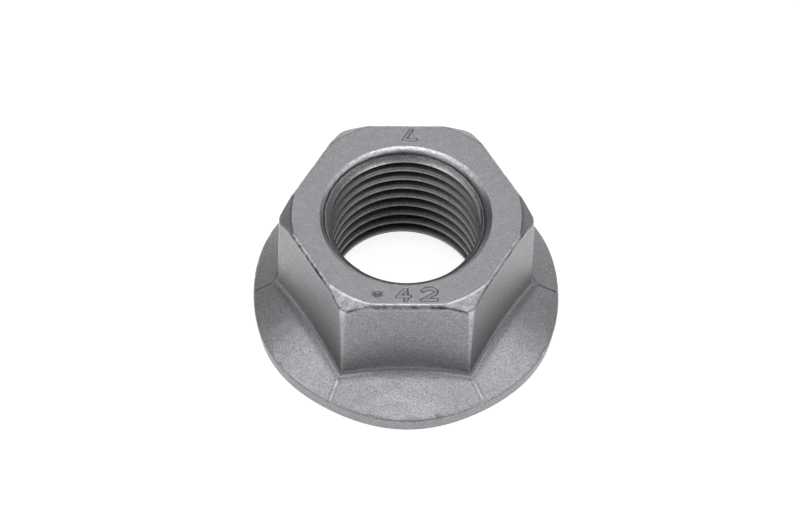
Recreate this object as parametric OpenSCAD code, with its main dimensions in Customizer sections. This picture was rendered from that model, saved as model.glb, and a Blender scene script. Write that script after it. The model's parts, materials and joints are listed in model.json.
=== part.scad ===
// Hexagon nut with an integral flange and a serrated bearing face, forged and tapped in one piece.
// Millimetres. The origin is on the thread's axis at the bearing face, and +Z points to the top face.
// Two flats face -Y and +Y, so two corners lie on the X axis.

/* [Thread] */
// Nominal diameter of the metric thread
thread_d = 16; // [15:0.25:17]
// Distance from one turn of the thread to the next
thread_pitch = 1.5; // [1:0.25:2]
// How much wider the bore is than the thread's least inner diameter
bore_allowance = 0.1; // [0:0.01:0.3]
// Diameter at which the top face ends and the countersink's lip begins
mouth_d = 17.2; // [16.6:0.1:18.4]
// Diameter of the countersink in the bearing face
lead_d = 18.2; // [16.4:0.1:18.6]
// Included angle of both countersinks
countersink_angle = 90; // [80:1:110]
// Radius of the rounded lip at the countersink's upper edge
lip_r = 1.5; // [0.3:0.1:1.8]
// Slope below the horizontal at which that lip leaves the top face
lip_angle = 15; // [0:1:30]

/* [Hexagon] */
// Distance across two opposite flats
across_flats = 22; // [21.5:0.1:24]
// Total height from the bearing face to the top face
height = 15.1; // [14:0.1:18]
// Radius of the rounded edge between the top face and a flat
top_edge_r = 0.45; // [0.2:0.05:0.6]
// Diameter of the circle that bounds the top face at the corners
crown_d = 22.6; // [22.1:0.1:23.2]
// Angle below the horizontal of the chamfer on each corner
crown_angle = 39; // [30:1:50]
// How far each corner's vertical edge is blunted at the chamfer
corner_blunt_top = 0.15; // [0.1:0.01:0.3]
// How far each corner's vertical edge is blunted at the foot
corner_blunt_foot = 0.04; // [0.02:0.01:0.08]
// Radius of the hollow fillet where a flat runs out into the flange
foot_r = 0.85; // [0.5:0.05:1.2]

/* [Flange] */
// Diameter of the flange where its rim meets its upper face, before that edge is rounded
flange_d = 30.8; // [30:0.1:35]
// Height of the rim's upper edge above the bearing face
rim_h = 1.9; // [1.5:0.05:3]
// How far the rim's side leans in from its upper edge to the bearing face
rim_draft = 0.25; // [0.1:0.05:0.5]
// Slope of the flange's upper face below the horizontal
flange_slope = 31; // [25:0.5:35]
// Radius of the rim's upper edge
rim_top_r = 0.25; // [0.1:0.05:0.4]
// Radius of the rim's lower edge
rim_foot_r = 0.3; // [0.1:0.05:0.4]

/* [Serrations] */
// Number of teeth on the bearing face
tooth_count = 30; // [20:1:40]
// Depth of the teeth at their outer ends
tooth_depth = 0.4; // [0.15:0.05:0.6]
// Diameter at which the teeth begin
tooth_inner_d = 20.4; // [19.2:0.1:23]
// Diameter at which the teeth end
tooth_outer_d = 29; // [26:0.1:29]
// Share of each tooth that is left as a flat land
tooth_land = 0.3; // [0.2:0.05:0.6]
// Angle taken up by the steep side of each tooth
tooth_steep = 0.8; // [0.4:0.1:1.5]

/* [Hidden] */
$fn = 96;

// Steps in each small rounded edge
edge_steps = 6;
// Length by which a cutter runs past the face it cuts
past = 1;
// Shares of foot_r at which the hollow fillet's centre stands off the flat and off the slope.
// Both are a little under 1, so that the fillet cuts into both faces all along.
foot_off_flat = 0.985;
foot_off_slope = 0.96;
// Share of foot_r by which the stock of the hollow fillet stands out from a flat
foot_reach = 0.5;

// The least inner diameter of a metric thread is its nominal diameter less 1.0825 pitches
bore_r = (thread_d - 1.0825 * thread_pitch + bore_allowance) / 2;
mouth_r = mouth_d / 2;
lead_r = lead_d / 2;
half_angle = countersink_angle / 2;
lead_depth = (lead_r - bore_r) / tan(half_angle);

flat_r = across_flats / 2;
corner_r = flat_r / cos(30);
crown_r = crown_d / 2;
blunt_top_r = corner_r - corner_blunt_top;
blunt_foot_r = corner_r - corner_blunt_foot;
chamfer_z = height - (blunt_top_r - crown_r) * tan(crown_angle);

rim_r = flange_d / 2;
rim_lean = atan(rim_draft / rim_h);
hex_base_z = rim_h / 2;

// The hollow fillet is a ring whose centre line follows a flat's meeting with the sloping flange.
// That meeting is a hyperbola, and an arc through its middle and its two ends lies close to it.
foot_line_r = flat_r + foot_r * foot_off_flat;
foot_lift = foot_r * foot_off_slope / cos(flange_slope);
foot_end_x = foot_line_r * tan(30);
foot_mid_z = flange_z(foot_line_r) + foot_lift;
foot_end_z = flange_z(foot_line_r / cos(30)) + foot_lift;
foot_drop = foot_mid_z - foot_end_z;
foot_sweep_r = (foot_end_x * foot_end_x + foot_drop * foot_drop) / (2 * foot_drop);

// Height of the flange's upper face at a distance r from the axis
function flange_z(r) = rim_h + (rim_r - r) * tan(flange_slope);

// Unit vector at an angle in a profile's plane
function unit(angle) = [cos(angle), sin(angle)];

// Points of an arc of radius r between two directions from its centre
function arc(centre, from, to, r) =
    [for (i = [0:edge_steps]) centre + r * unit(from + (to - from) * i / edge_steps)];

// Arc of radius r that rounds a convex corner between two edges, from their outward normals
function rounded(corner, from, to, r) =
    arc(corner - r * (unit(from) + unit(to)) / (1 + unit(from) * unit(to)), from, to, r);

// Flange with its sloping upper face, leaning rim and rounded edges
module flange() {
    core_r = flat_r / 2;
    rotate_extrude()
        polygon(concat(
            [[0, 0]],
            rounded([rim_r - rim_draft, 0], -90, -rim_lean, rim_foot_r),
            rounded([rim_r, rim_h], -rim_lean, 90 - flange_slope, rim_top_r),
            [[core_r, flange_z(core_r)], [0, flange_z(core_r)]]
        ));
}

// Stock that runs from one flat, facing +X, out into the flange through a hollow fillet
module flat_foot() {
    sweep_z = foot_mid_z - foot_sweep_r;
    reach = foot_r * foot_reach;
    difference() {
        intersection() {
            translate([flat_r - past, 0, sweep_z])
                rotate([0, 90, 0])
                    cylinder(h = past + reach, r = foot_sweep_r);
            translate([flat_r - past, -flat_r, hex_base_z])
                cube([past + reach, across_flats, height]);
        }
        translate([foot_line_r, 0, sweep_z])
            rotate([0, 90, 0])
                rotate_extrude()
                    translate([foot_sweep_r, 0])
                        circle(r = foot_r);
    }
}

// Slab between two opposite flats, which face -X and +X, with rounded upper edges and hollow feet
module flat_pair() {
    rotate([90, 0, 0])
        linear_extrude(height = 2 * across_flats, center = true)
            polygon(concat(
                [[-flat_r, hex_base_z], [flat_r, hex_base_z]],
                rounded([flat_r, height], 0, 90, top_edge_r),
                rounded([-flat_r, height], 90, 180, top_edge_r)
            ));
    flat_foot();
    mirror([1, 0, 0]) flat_foot();
}

// Turned outline that chamfers the six corners at the top and blunts their vertical edges
module corner_outline() {
    flare_z = foot_end_z + foot_r / 2;
    flare_r = rim_r - blunt_foot_r;
    cone_rise = (crown_r - past) * tan(crown_angle);
    rotate_extrude()
        polygon([
            [0, 0],
            [rim_r, 0],
            [rim_r, flare_z - flare_r],
            [blunt_foot_r, flare_z],
            [blunt_top_r, chamfer_z],
            [crown_r, height],
            [past, height + cone_rise],
            [0, height + cone_rise]
        ]);
}

// Hexagon, as the space that three pairs of flats and the turned outline share
module hexagon() {
    intersection() {
        rotate([0, 0, 30]) flat_pair();
        rotate([0, 0, 90]) flat_pair();
        rotate([0, 0, 150]) flat_pair();
        corner_outline();
    }
}

// Bore at the thread's inner diameter, with a lipped countersink above and a plain one below
module bore() {
    lip_start = 90 + lip_angle;
    lip = arc([mouth_r, height] - lip_r * unit(lip_start), 180 - half_angle, lip_start, lip_r);
    mouth_foot_z = lip[0].y - (lip[0].x - bore_r) / tan(half_angle);
    rotate_extrude()
        polygon(concat(
            [[0, -past], [lead_r, -past], [lead_r, 0]],
            [[bore_r, lead_depth], [bore_r, mouth_foot_z]],
            lip,
            [[mouth_r, height + past], [0, height + past]]
        ));
}

// One valley between two teeth: a wedge that opens from the axis, steep on one side and a ramp on the other
module tooth_valley() {
    reach_r = rim_r * 1.1;
    floor_z = tooth_depth * reach_r / (tooth_outer_d / 2);
    width = 360 / tooth_count * (1 - tooth_land);
    steep = [reach_r, 0, 0];
    root = [reach_r * cos(tooth_steep), reach_r * sin(tooth_steep), floor_z];
    ramp = [reach_r * cos(width), reach_r * sin(width), 0];
    polyhedron(
        points = [[0, 0, 0], root + 1.5 * (steep - root), root, root + 1.1 * (ramp - root)],
        faces = [[0, 2, 1], [0, 3, 2], [0, 1, 3], [1, 2, 3]]
    );
}

// Ring of valleys, which leaves the teeth standing between an inner and an outer plain ring
module serrations() {
    intersection() {
        rotate_extrude()
            translate([tooth_inner_d / 2, -past])
                square([(tooth_outer_d - tooth_inner_d) / 2, 2 * past]);
        union() {
            for (i = [0:tooth_count - 1])
                rotate([0, 0, i * 360 / tooth_count]) tooth_valley();
        }
    }
}

module flange_nut() {
    color([0.56, 0.56, 0.58])
        difference() {
            union() {
                flange();
                hexagon();
            }
            bore();
            serrations();
        }
}

flange_nut();
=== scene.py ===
"""Looks of a hexagon flange nut: one closed skin with its thread, worn edges, stamped marks and teeth."""

import json
import logging
import math
from collections.abc import Callable, Sequence
from dataclasses import dataclass, field, fields
from enum import Enum

import bpy
import numpy as np
from mathutils import Matrix, Vector


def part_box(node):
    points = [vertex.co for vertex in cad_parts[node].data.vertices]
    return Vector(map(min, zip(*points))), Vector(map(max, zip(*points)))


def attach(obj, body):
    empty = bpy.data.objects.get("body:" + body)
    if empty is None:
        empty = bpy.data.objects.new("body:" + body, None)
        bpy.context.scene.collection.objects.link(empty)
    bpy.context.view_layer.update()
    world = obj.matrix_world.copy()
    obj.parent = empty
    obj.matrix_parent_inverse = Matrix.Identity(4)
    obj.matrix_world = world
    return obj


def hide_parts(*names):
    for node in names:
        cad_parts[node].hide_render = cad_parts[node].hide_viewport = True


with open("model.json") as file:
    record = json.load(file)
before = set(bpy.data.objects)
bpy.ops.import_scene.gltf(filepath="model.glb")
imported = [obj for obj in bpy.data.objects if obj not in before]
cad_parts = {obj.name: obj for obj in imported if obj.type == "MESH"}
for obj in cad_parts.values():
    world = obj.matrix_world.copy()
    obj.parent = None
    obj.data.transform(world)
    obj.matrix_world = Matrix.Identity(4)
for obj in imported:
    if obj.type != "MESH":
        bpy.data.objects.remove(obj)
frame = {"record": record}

log = logging.getLogger("flange_nut")

# Shapes are worked out in millimetres and become metres when their mesh is made
MM = 0.001
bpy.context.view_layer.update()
CORNERS = 6

# A number or an array of numbers
Numbers = float | np.ndarray
# A length worked out for each of many angles
Profile = Callable[[np.ndarray], np.ndarray]
# Two ends of a range
Span = tuple[float, float]
# What goes into a node: another node's output, a number, or a colour or vector
Input = bpy.types.NodeSocket | float | tuple[float, ...]


class Grain(Enum):
    """Seeds of the separate surface ripples, so that no two stretches share a pattern."""

    TOP_EDGE = 11
    FLATS = 12
    FLANGE = 13
    RIM = 14
    LIP = 15
    STAMP = 16
    BLUNTING = 17


def ripple(points: np.ndarray, size: float, grain: Grain, waves: int = 28) -> np.ndarray:
    """Smooth seamless unevenness of about unit height: a sum of plane sine waves in random directions.

    Args:
        points: Places in millimetres, with x, y and z in the last axis.
        size: Typical distance from one bump to the next, in millimetres.
        grain: Which pattern, as the seed of the random directions.
        waves: Number of waves in the sum.

    Returns:
        One value per point.
    """
    rng = np.random.default_rng(grain.value)
    direction = rng.normal(size=(waves, 3))
    direction /= np.linalg.norm(direction, axis=1, keepdims=True)
    number = 2 * np.pi / (size * rng.uniform(0.7, 1.8, waves))
    phase = rng.uniform(0, 2 * np.pi, waves)
    total = np.zeros(points.shape[:-1])
    for k in range(waves):
        total += np.sin(points @ (direction[k] * number[k]) + phase[k])
    return total / math.sqrt(waves)


def smooth_min(a: np.ndarray, b: Numbers, blend: float) -> np.ndarray:
    """Least of two lengths, rounded over a width of `blend` where they meet, by a small square term."""
    near = np.maximum(blend - np.abs(a - b), 0) / blend
    return np.minimum(a, b) - near * near * blend / 4


def step(value: np.ndarray, low: Numbers, high: Numbers) -> np.ndarray:
    """Smooth step from 0 at `low` to 1 at `high`: 3t squared less 2t cubed."""
    t = np.clip((value - low) / (high - low), 0, 1)
    return t * t * (3 - 2 * t)


def hump(value: np.ndarray, width: float) -> np.ndarray:
    """Bell of unit height round zero: e to the power of minus the square of value over width."""
    return np.exp(-((value / width) ** 2))


def lift(least: float, share: np.ndarray) -> np.ndarray:
    """Value that goes evenly from `least` to 1 as a share goes from 0 to 1."""
    return least + (1 - least) * share


@dataclass(frozen=True)
class Band:
    """One soft line of paint or relief: how strong it is, where its middle lies, and its half-width."""

    strength: float
    middle: float
    half: float

    def on(self, value: np.ndarray) -> np.ndarray:
        """Strength at each value: a bell round the middle."""
        return self.strength * hump(value - self.middle, self.half)

    def round_axis(self, angle: np.ndarray) -> np.ndarray:
        """Strength at each angle in radians, for a middle and half-width in degrees."""
        off = (np.degrees(angle) - self.middle + 180) % 360 - 180
        return self.strength * hump(off, self.half)


@dataclass
class Strip:
    """Closed rings of points round the axis, one ring per row.

    Angles are in radians and lengths in millimetres. `edge` and `hollow` are painted values from 0 to 1
    that the coating reads: the painted highlight and wear at a point, and its painted shade. `east` and
    `north` move a ring's centre off the axis, along X and Y.
    """

    angle: np.ndarray
    radius: np.ndarray
    height: np.ndarray
    edge: np.ndarray
    hollow: np.ndarray
    east: np.ndarray
    north: np.ndarray

    @classmethod
    def of(cls, angle: np.ndarray, radius: Numbers, height: Numbers, edge: Numbers = 0.0,
           hollow: Numbers = 0.0, centre: Sequence[Numbers] = (0.0, 0.0)) -> "Strip":
        """Strip from arrays that broadcast against each other.

        Args:
            angle: Angle of each point round the axis.
            radius: Distance of each point from the axis.
            height: Height of each point above the bearing face.
            edge: Painted highlight and wear.
            hollow: Painted shade.
            centre: Where the rings' centres lie in X and Y, each a number or an array.

        Returns:
            The strip, with all arrays of one shape.
        """
        values = np.broadcast_arrays(angle, radius, height, edge, hollow, *centre)
        return cls(*(np.array(value, float) for value in values))

    def points(self) -> np.ndarray:
        """Places in millimetres: off the centre by radius times cosine and sine, and at the height."""
        x = self.east + self.radius * np.cos(self.angle)
        y = self.north + self.radius * np.sin(self.angle)
        return np.stack([x, y, self.height], -1)

    def then(self, after: "Strip") -> "Strip":
        """This strip's rings followed by those of another with as many columns."""
        names = [item.name for item in fields(self)]
        return Strip(*(np.concatenate([getattr(self, name), getattr(after, name)]) for name in names))


@dataclass
class Skin:
    """One closed surface, gathered strip by strip. Each strip runs on in the same sense as the one before."""

    places: list[np.ndarray] = field(default_factory=list)
    paint: list[np.ndarray] = field(default_factory=list)
    faces: list[np.ndarray] = field(default_factory=list)
    count: int = 0

    def lay(self, strip: Strip) -> np.ndarray:
        """Adds a strip's points.

        Args:
            strip: The strip.

        Returns:
            The number of each point, in the strip's rows and columns.
        """
        places = strip.points().reshape(-1, 3)
        self.places.append(places)
        self.paint.append(np.stack([strip.edge.ravel(), strip.hollow.ravel()], -1))
        numbers = self.count + np.arange(len(places)).reshape(strip.angle.shape)
        self.count += len(places)
        return numbers

    def weave(self, numbers: np.ndarray) -> None:
        """Joins each ring to the next one, column by column, with two triangles per cell.

        Args:
            numbers: Point numbers in rows and columns. The last column repeats the first, or its follow-on.
        """
        a, b = numbers[:-1, :-1], numbers[1:, :-1]
        c, d = numbers[1:, 1:], numbers[:-1, 1:]
        halves = [np.stack(corners, -1).reshape(-1, 3) for corners in ((a, b, c), (a, c, d))]
        triangles = np.concatenate(halves)
        whole = (triangles[:, 0] != triangles[:, 1]) & (triangles[:, 1] != triangles[:, 2])
        whole &= triangles[:, 2] != triangles[:, 0]
        self.faces.append(triangles[whole])

    def ring_strip(self, strip: Strip) -> np.ndarray:
        """Adds a strip whose columns close on themselves, and weaves it. Returns its point numbers."""
        numbers = self.lay(strip)
        self.weave(np.concatenate([numbers, numbers[:, :1]], 1))
        return numbers

    def zip_up(self, first: np.ndarray, first_angle: np.ndarray, last: np.ndarray,
               last_angle: np.ndarray) -> None:
        """Joins two rings with different numbers of points by one band of triangles.

        Both rings start near the same angle. Each side of either ring is one triangle's base, and sorting all
        sides by the angle of their middle gives the order in which the band advances.

        Args:
            first: Point numbers of the ring that comes first.
            first_angle: Their rising angles.
            last: Point numbers of the ring that comes next.
            last_angle: Their rising angles.
        """
        turn = 2 * np.pi
        middles = [(a + np.append(a[1:], a[0] + turn)) / 2 for a in (first_angle, last_angle)]
        side = np.concatenate([np.zeros(len(first), int), np.ones(len(last), int)])
        side = side[np.argsort(np.concatenate(middles), kind="stable")]
        on_last = np.cumsum(side)
        on_first = np.cumsum(1 - side)
        before_first, before_last = on_first - (side == 0), on_last - (side == 1)
        a = first[before_first % len(first)]
        b = last[before_last % len(last)]
        c = np.where(side == 0, first[on_first % len(first)], last[on_last % len(last)])
        self.faces.append(np.stack([a, b, c], -1))

    def mesh(self, name: str, sharp: float) -> bpy.types.Object:
        """Makes the Blender object.

        Args:
            name: The piece's name.
            sharp: Angle between faces, in degrees, above which an edge is shaded as sharp.

        Returns:
            The object, at the origin, with its painted values as attributes.
        """
        faces = np.concatenate(self.faces)
        used, faces = np.unique(faces, return_inverse=True)
        faces = faces.reshape(-1, 3)
        places = np.concatenate(self.places)[used] * MM
        paint = np.concatenate(self.paint)[used]
        mesh = bpy.data.meshes.new(name)
        mesh.vertices.add(len(places))
        mesh.vertices.foreach_set("co", places.astype(np.float32).ravel())
        mesh.loops.add(faces.size)
        mesh.loops.foreach_set("vertex_index", faces.astype(np.int32).ravel())
        mesh.polygons.add(len(faces))
        mesh.polygons.foreach_set("loop_start", np.arange(0, faces.size, 3, dtype=np.int32))
        mesh.polygons.foreach_set("use_smooth", np.ones(len(faces), bool))
        mesh.update(calc_edges=True)
        mesh.validate()
        for k, label in enumerate(("edge", "hollow")):
            layer = mesh.attributes.new(label, "FLOAT", "POINT")
            layer.data.foreach_set("value", np.clip(paint[:, k], 0, 1).astype(np.float32))
        mesh.set_sharp_from_angle(angle=math.radians(sharp))
        piece = bpy.data.objects.new(name, mesh)
        bpy.context.scene.collection.objects.link(piece)
        return piece


@dataclass
class Bore:
    """The tapped hole: a helical thread between a lipped countersink above and a plain one below.

    The thread has the standard 60 degree form. Every row of its grid follows the helix, so its edges stay
    true. Painted values run from 0 to 1, bearings are in degrees from the X axis, and the far side is the
    one that lies opposite the viewer of the front.
    """

    crest_r: float
    height: float
    nominal_d: float = 16.0
    pitch: float = 1.5
    # How much further out than the nominal radius the roots are cut
    root_play: float = 0.05
    # Slope of each flank off the plane across the axis, and shares of its height at which it has rows
    flank: float = 30.0
    flank_rows: tuple[float, ...] = (0.28, 0.62, 0.94)
    # How far the crests' edges are broken
    nick: float = 0.035
    # Height of one crest's upper edge, a quarter turn from the X axis
    crest_mark_z: float = 12.95
    # Countersinks: the mouth's radius, the radius and first slope of its lip, the slope of both cones, and
    # the lower one's radius at the bearing face
    mouth_r: float = 8.5
    lip_r: float = 1.15
    lip_angle: float = 14.0
    cone_angle: float = 45.0
    lead_r: float = 9.1
    # How far the tapped hole leans, along X and Y, from the bearing face to the top face
    lean: tuple[float, float] = (-0.07, -0.2)
    # Heights between which the thread's own grid runs, whole turns that it has to spare at each end, and its
    # number of columns
    top_z: float = 14.42
    foot_z: float = 0.95
    spare_turns: int = 3
    columns: int = 300
    # Fine step below the lip: its mean radius, how far it winds off centre, its cut and its rows' places
    step_r: float = 7.865
    step_wind: float = 0.15
    step_depth: float = 0.08
    step_half: float = 0.065
    step_rows: tuple[float, ...] = (-3.4, -1.6, -1.0, -0.45, 0.45, 1.0, 1.7)
    # Angles over which the fine step fades out, and over which it comes back
    step_out: Span = (185.0, 230.0)
    step_back: Span = (315.0, 335.0)
    # Shares of the way from the fine step to the mouth at which the lip has rows, and its unevenness
    lip_rows: tuple[float, ...] = (0.14, 0.30, 0.46, 0.62, 0.76, 0.88, 0.95, 1.0)
    lip_rough: float = 0.012
    # The far side, by bearing, and the painted highlight line along each crest, by height off the crest's
    # middle
    far_side: Band = Band(1.0, 100.0, 46.0)
    crest_line: Band = Band(0.60, 0.03, 0.18)
    # Shares of that line's strength left on the near side and at the bottom, and the heights of the fade
    line_near: float = 0.4
    line_low: float = 0.35
    line_fade: Span = (2.0, 9.0)
    # Share of the groove's depth at which the painted shade is at its darkest, and where the crest ends
    shade_full: float = 0.42
    crest_depth: float = 0.06
    # How fast the painted shade deepens on the crest above the highlight line and below it, per millimetre
    shade_above: float = 1.1
    shade_below: float = 2.9
    # Painted shade on the near side, as a share of the far side's
    shade_least: float = 0.72
    # More painted shade on the far side, by height in the bore
    deep_shade: Band = Band(0.68, 5.0, 4.4)
    # Upper cone: how near a point counts as on it, its painted shade on the far side, the distances off the
    # crests over which that sets in, and the painted highlight at its inner edge
    touch: float = 0.02
    cone_shade: float = 0.4
    cone_fade: Span = (0.08, 0.36)
    cone_edge: Band = Band(0.95, 0.0, 0.2)
    # Painted highlight band round the far side of the lip, and the painted shade at its two sides, by bearing
    lip_bright: float = 0.68
    side_shades: tuple[Band, ...] = (Band(0.65, 190.0, 22.0), Band(0.65, 0.0, 24.0))

    def __post_init__(self) -> None:
        """Works out the lip's arc and the thread's flats from the driving sizes."""
        self.cone_slope = math.tan(math.radians(self.cone_angle))
        start = math.radians(90 + self.lip_angle)
        self.arc_centre = (self.mouth_r - self.lip_r * math.cos(start),
                           self.height - self.lip_r * math.sin(start))
        end = math.radians(180 - self.cone_angle)
        self.cone_top = (self.arc_centre[0] + self.lip_r * math.cos(end),
                         self.arc_centre[1] + self.lip_r * math.sin(end))
        flank_slope = math.tan(math.radians(self.flank))
        self.root_r = self.nominal_d / 2 + self.root_play
        self.flank_rise = (self.root_r - self.crest_r) * flank_slope
        root_flat = self.pitch / 8 - 2 * self.root_play * flank_slope
        self.crest_half = self.pitch / 2 - self.flank_rise - root_flat / 2

    def angles(self) -> np.ndarray:
        """Rising angles of the columns, in radians."""
        return np.arange(self.columns) * 2 * np.pi / self.columns

    def far(self, angle: np.ndarray) -> np.ndarray:
        """How far each angle belongs to the far side: a bell round that side's middle."""
        return self.far_side.round_axis(angle)

    def centre(self, z: np.ndarray) -> list[np.ndarray]:
        """Centre of the hole, in X and Y, at each height: the lean's share of the way up."""
        return [middle * z / self.height for middle in self.lean]

    def upper(self, z: np.ndarray) -> np.ndarray:
        """Radius of the upper countersink: a cone of fixed slope, then the lip's arc.

        Args:
            z: Heights.

        Returns:
            The radius at each height.
        """
        cone = self.cone_top[0] - (self.cone_top[1] - z) / self.cone_slope
        across = np.sqrt(np.maximum(self.lip_r ** 2 - (z - self.arc_centre[1]) ** 2, 0))
        return np.where(z < self.cone_top[1], cone, self.arc_centre[0] - across)

    def lower(self, z: np.ndarray) -> np.ndarray:
        """Radius of the lower countersink: a cone that narrows with height."""
        return self.lead_r - z / self.cone_slope

    def profile(self) -> tuple[np.ndarray, np.ndarray]:
        """One turn's rows: their distances up the axis from the crest's middle, and their radii.

        Returns:
            Offsets and radii, rising from one crest's lower edge to just below the next one's.
        """
        half_up = [(self.crest_half - self.nick, self.crest_r),
                   (self.crest_half + self.nick / 2, self.crest_r + self.nick)]
        for share in self.flank_rows:
            half_up.append((self.crest_half + share * self.flank_rise,
                            self.crest_r + share * (self.root_r - self.crest_r)))
        half_down = [(-z, r) for z, r in reversed(half_up)]
        middle = [(self.crest_line.middle, self.crest_r)]
        rows = half_down + middle + half_up + [(self.pitch / 2, self.root_r)]
        offsets, radii = np.array(rows).T
        return offsets, radii

    def grid(self, skin: Skin) -> tuple[np.ndarray, np.ndarray, np.ndarray]:
        """Lays the thread.

        Height is a row's offset plus whole pitches, plus a pitch for each full turn. Radius is the greatest
        of the thread's and both countersinks'. Where the thread passes into a countersink, the nearest row is
        moved on to the crossing.

        Args:
            skin: The surface to add to.

        Returns:
            Point numbers of the lowest ring and of the highest, and their angles.
        """
        offsets, radii = self.profile()
        turns = np.arange(-int(self.height / self.pitch) - self.spare_turns, self.spare_turns + 1)
        angle = self.angles()
        base = self.crest_mark_z - self.crest_half
        up = (turns[:, None] * self.pitch + offsets[None, :]).ravel()[:, None]
        z = base + self.pitch * (angle[None, :] / (2 * np.pi) - 0.25) + up
        thread = np.broadcast_to(np.tile(radii, len(turns))[:, None], z.shape)
        top_r = self.upper(np.array(self.top_z))
        thread = np.minimum(thread, top_r + np.maximum(self.top_z - z, 0))
        sink = np.maximum(self.upper(np.minimum(z, self.top_z)), self.lower(z))
        z, radius = self.settle(z, thread, sink)
        edge, hollow = self.thread_wear(angle, radius, z, np.tile(offsets, len(turns))[:, None])
        numbers = skin.lay(Strip.of(angle[None, :], radius, z, edge, hollow, self.centre(z)))
        first = np.argmax(z > self.foot_z, axis=0) - 1
        last = np.argmax(z >= self.top_z, axis=0)
        self.pin(skin, numbers, first, angle, self.foot_z, self.lower(np.array(self.foot_z)))
        self.pin(skin, numbers, last, angle, self.top_z, top_r)
        here = np.arange(self.columns)
        # Painted shade on the far side of the ring where the thread meets the upper cone
        skin.paint[-1][numbers[last, here] - numbers[0, 0], 1] = self.cone_shade * self.far(angle)
        row = np.arange(len(z))[:, None]
        clipped = numbers[np.clip(row, first, last), here]
        after = np.clip(np.minimum(row[:, 0] + len(offsets), len(z) - 1), first[0], last[0])
        skin.weave(np.concatenate([clipped, numbers[after, 0][:, None]], 1))
        return numbers[first, here], numbers[last, here], angle

    def thread_wear(self, angle: np.ndarray, radius: np.ndarray, z: np.ndarray,
                    phase: np.ndarray) -> tuple[np.ndarray, np.ndarray]:
        """Painted light and shade of the thread and the cone above it.

        Painted shade fills the grooves, deepest on the far side, and thins out on the crests towards a
        painted highlight line. The cone has a painted highlight at its inner edge and painted shade outside
        it. The lower countersink stays plain.

        Args:
            angle: Angle of each column.
            radius: Radius of each point.
            z: Height of each point.
            phase: Distance of each row up the axis from its crest's middle.

        Returns:
            The painted highlight and painted shade of each point.
        """
        far = self.far(angle)
        middle = self.height / 2
        on_cone = (np.abs(radius - self.upper(np.minimum(z, self.top_z))) < self.touch) & (z > middle)
        on_lead = (np.abs(radius - self.lower(z)) < self.touch) & (z < middle)
        depth = (radius - self.crest_r) / (self.root_r - self.crest_r)
        # Painted shade in the grooves, thinning over the crests, strongest on the far side and part-way down
        # the bore
        in_groove = 1 - np.clip(1 - depth / self.shade_full, 0, 1) ** 3
        off_line = phase - self.crest_line.middle
        growth = np.where(off_line > 0, self.shade_above, self.shade_below)
        on_crest = growth * np.abs(off_line) * (depth < self.crest_depth)
        groove_shade = np.maximum(in_groove, on_crest) * lift(self.shade_least, far)
        deep_shade = far * self.deep_shade.on(z)
        out = radius - self.crest_r
        # Painted shade on the cone's far side, away from the crests
        shaded = self.cone_shade * far * step(out, *self.cone_fade)
        hollow = np.where(on_cone, shaded, np.where(on_lead, 0.0, 1 - (1 - groove_shade) * (1 - deep_shade)))
        # Painted highlight line along each crest, weaker on the near side and lower down, and on the cone's
        # inner edge
        left = lift(self.line_near, far) * lift(self.line_low, step(z, *self.line_fade))
        line = self.crest_line.on(phase) * left
        return np.where(on_cone, self.cone_edge.on(out), line), hollow

    def settle(self, z: np.ndarray, thread: np.ndarray, sink: np.ndarray) -> tuple[np.ndarray, np.ndarray]:
        """Moves the row nearest to each crossing of thread and countersink on to it.

        Args:
            z: Heights.
            thread: The thread's radius.
            sink: The countersinks' radius.

        Returns:
            The heights and the resulting radii.
        """
        gap = thread - sink
        crossing = gap[:-1] * gap[1:] < 0
        share = np.where(crossing, gap[:-1] / np.where(crossing, gap[:-1] - gap[1:], 1), 0)
        met_z = z[:-1] + share * (z[1:] - z[:-1])
        met_r = sink[:-1] + share * (sink[1:] - sink[:-1])
        z, radius = z.copy(), np.maximum(thread, sink)
        near_first = crossing & (share < 0.5)
        near_last = crossing & (share >= 0.5)
        z[:-1][near_first] = met_z[near_first]
        radius[:-1][near_first] = met_r[near_first]
        z[1:][near_last] = met_z[near_last]
        radius[1:][near_last] = met_r[near_last]
        return z, radius

    def pin(self, skin: Skin, numbers: np.ndarray, rows: np.ndarray, angle: np.ndarray, z: float,
            radius: float) -> None:
        """Puts one point of each column on a plain ring, where the thread's grid ends.

        Args:
            skin: The surface that holds the points.
            numbers: Their numbers.
            rows: The row of each column that moves.
            angle: The columns' angles.
            z: The ring's height.
            radius: The ring's radius.
        """
        local = numbers[rows, np.arange(len(angle))] - numbers[0, 0]
        skin.places[-1][local] = Strip.of(angle, radius, z, centre=self.centre(z)).points()
        skin.paint[-1][local] = 0

    def lip(self) -> Strip:
        """Rings from the thread's highest ring up over the lip to just outside the mouth.

        Radius runs from the cone to the mouth. Height is that of the cone or the arc, less the fine step's
        cut, whose radius winds off centre with the cosine of the angle.

        Returns:
            The strip.
        """
        angle = self.angles()
        line = self.step_r - self.step_wind * np.cos(angle)
        offsets = np.array(self.step_rows)[:, None] * self.step_half
        lowest = self.upper(np.array(self.top_z)) + np.linspace(0.004, 0.03, len(offsets))[:, None]
        near = np.maximum(line + offsets, lowest)
        rim = self.mouth_r + 0.01
        radius = np.concatenate([near, near[-1] + (rim - near[-1]) * np.array(self.lip_rows)[:, None]])
        reach = np.sqrt(np.maximum(self.lip_r ** 2 - (radius - self.arc_centre[0]) ** 2, 0))
        slope = self.cone_top[1] - (self.cone_top[0] - radius) * self.cone_slope
        z = np.where(radius < self.cone_top[0], slope, self.arc_centre[1] + reach)
        uneven = ripple(Strip.of(angle, radius, z).points(), 0.45, Grain.LIP)
        rough = self.lip_rough * uneven
        cut = hump(radius - line - rough, self.step_half) * self.step_strength(angle)
        z = z - self.step_depth * cut + rough * step(self.mouth_r - radius, 0.02, 0.15)
        z = np.minimum(z, self.height)
        edge, hollow = self.lip_shading(angle, radius, line, uneven)
        # The fine step's cut also gets painted shade
        return Strip.of(angle, radius, z, edge, np.maximum(0.95 * cut, hollow), self.centre(z))

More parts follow.
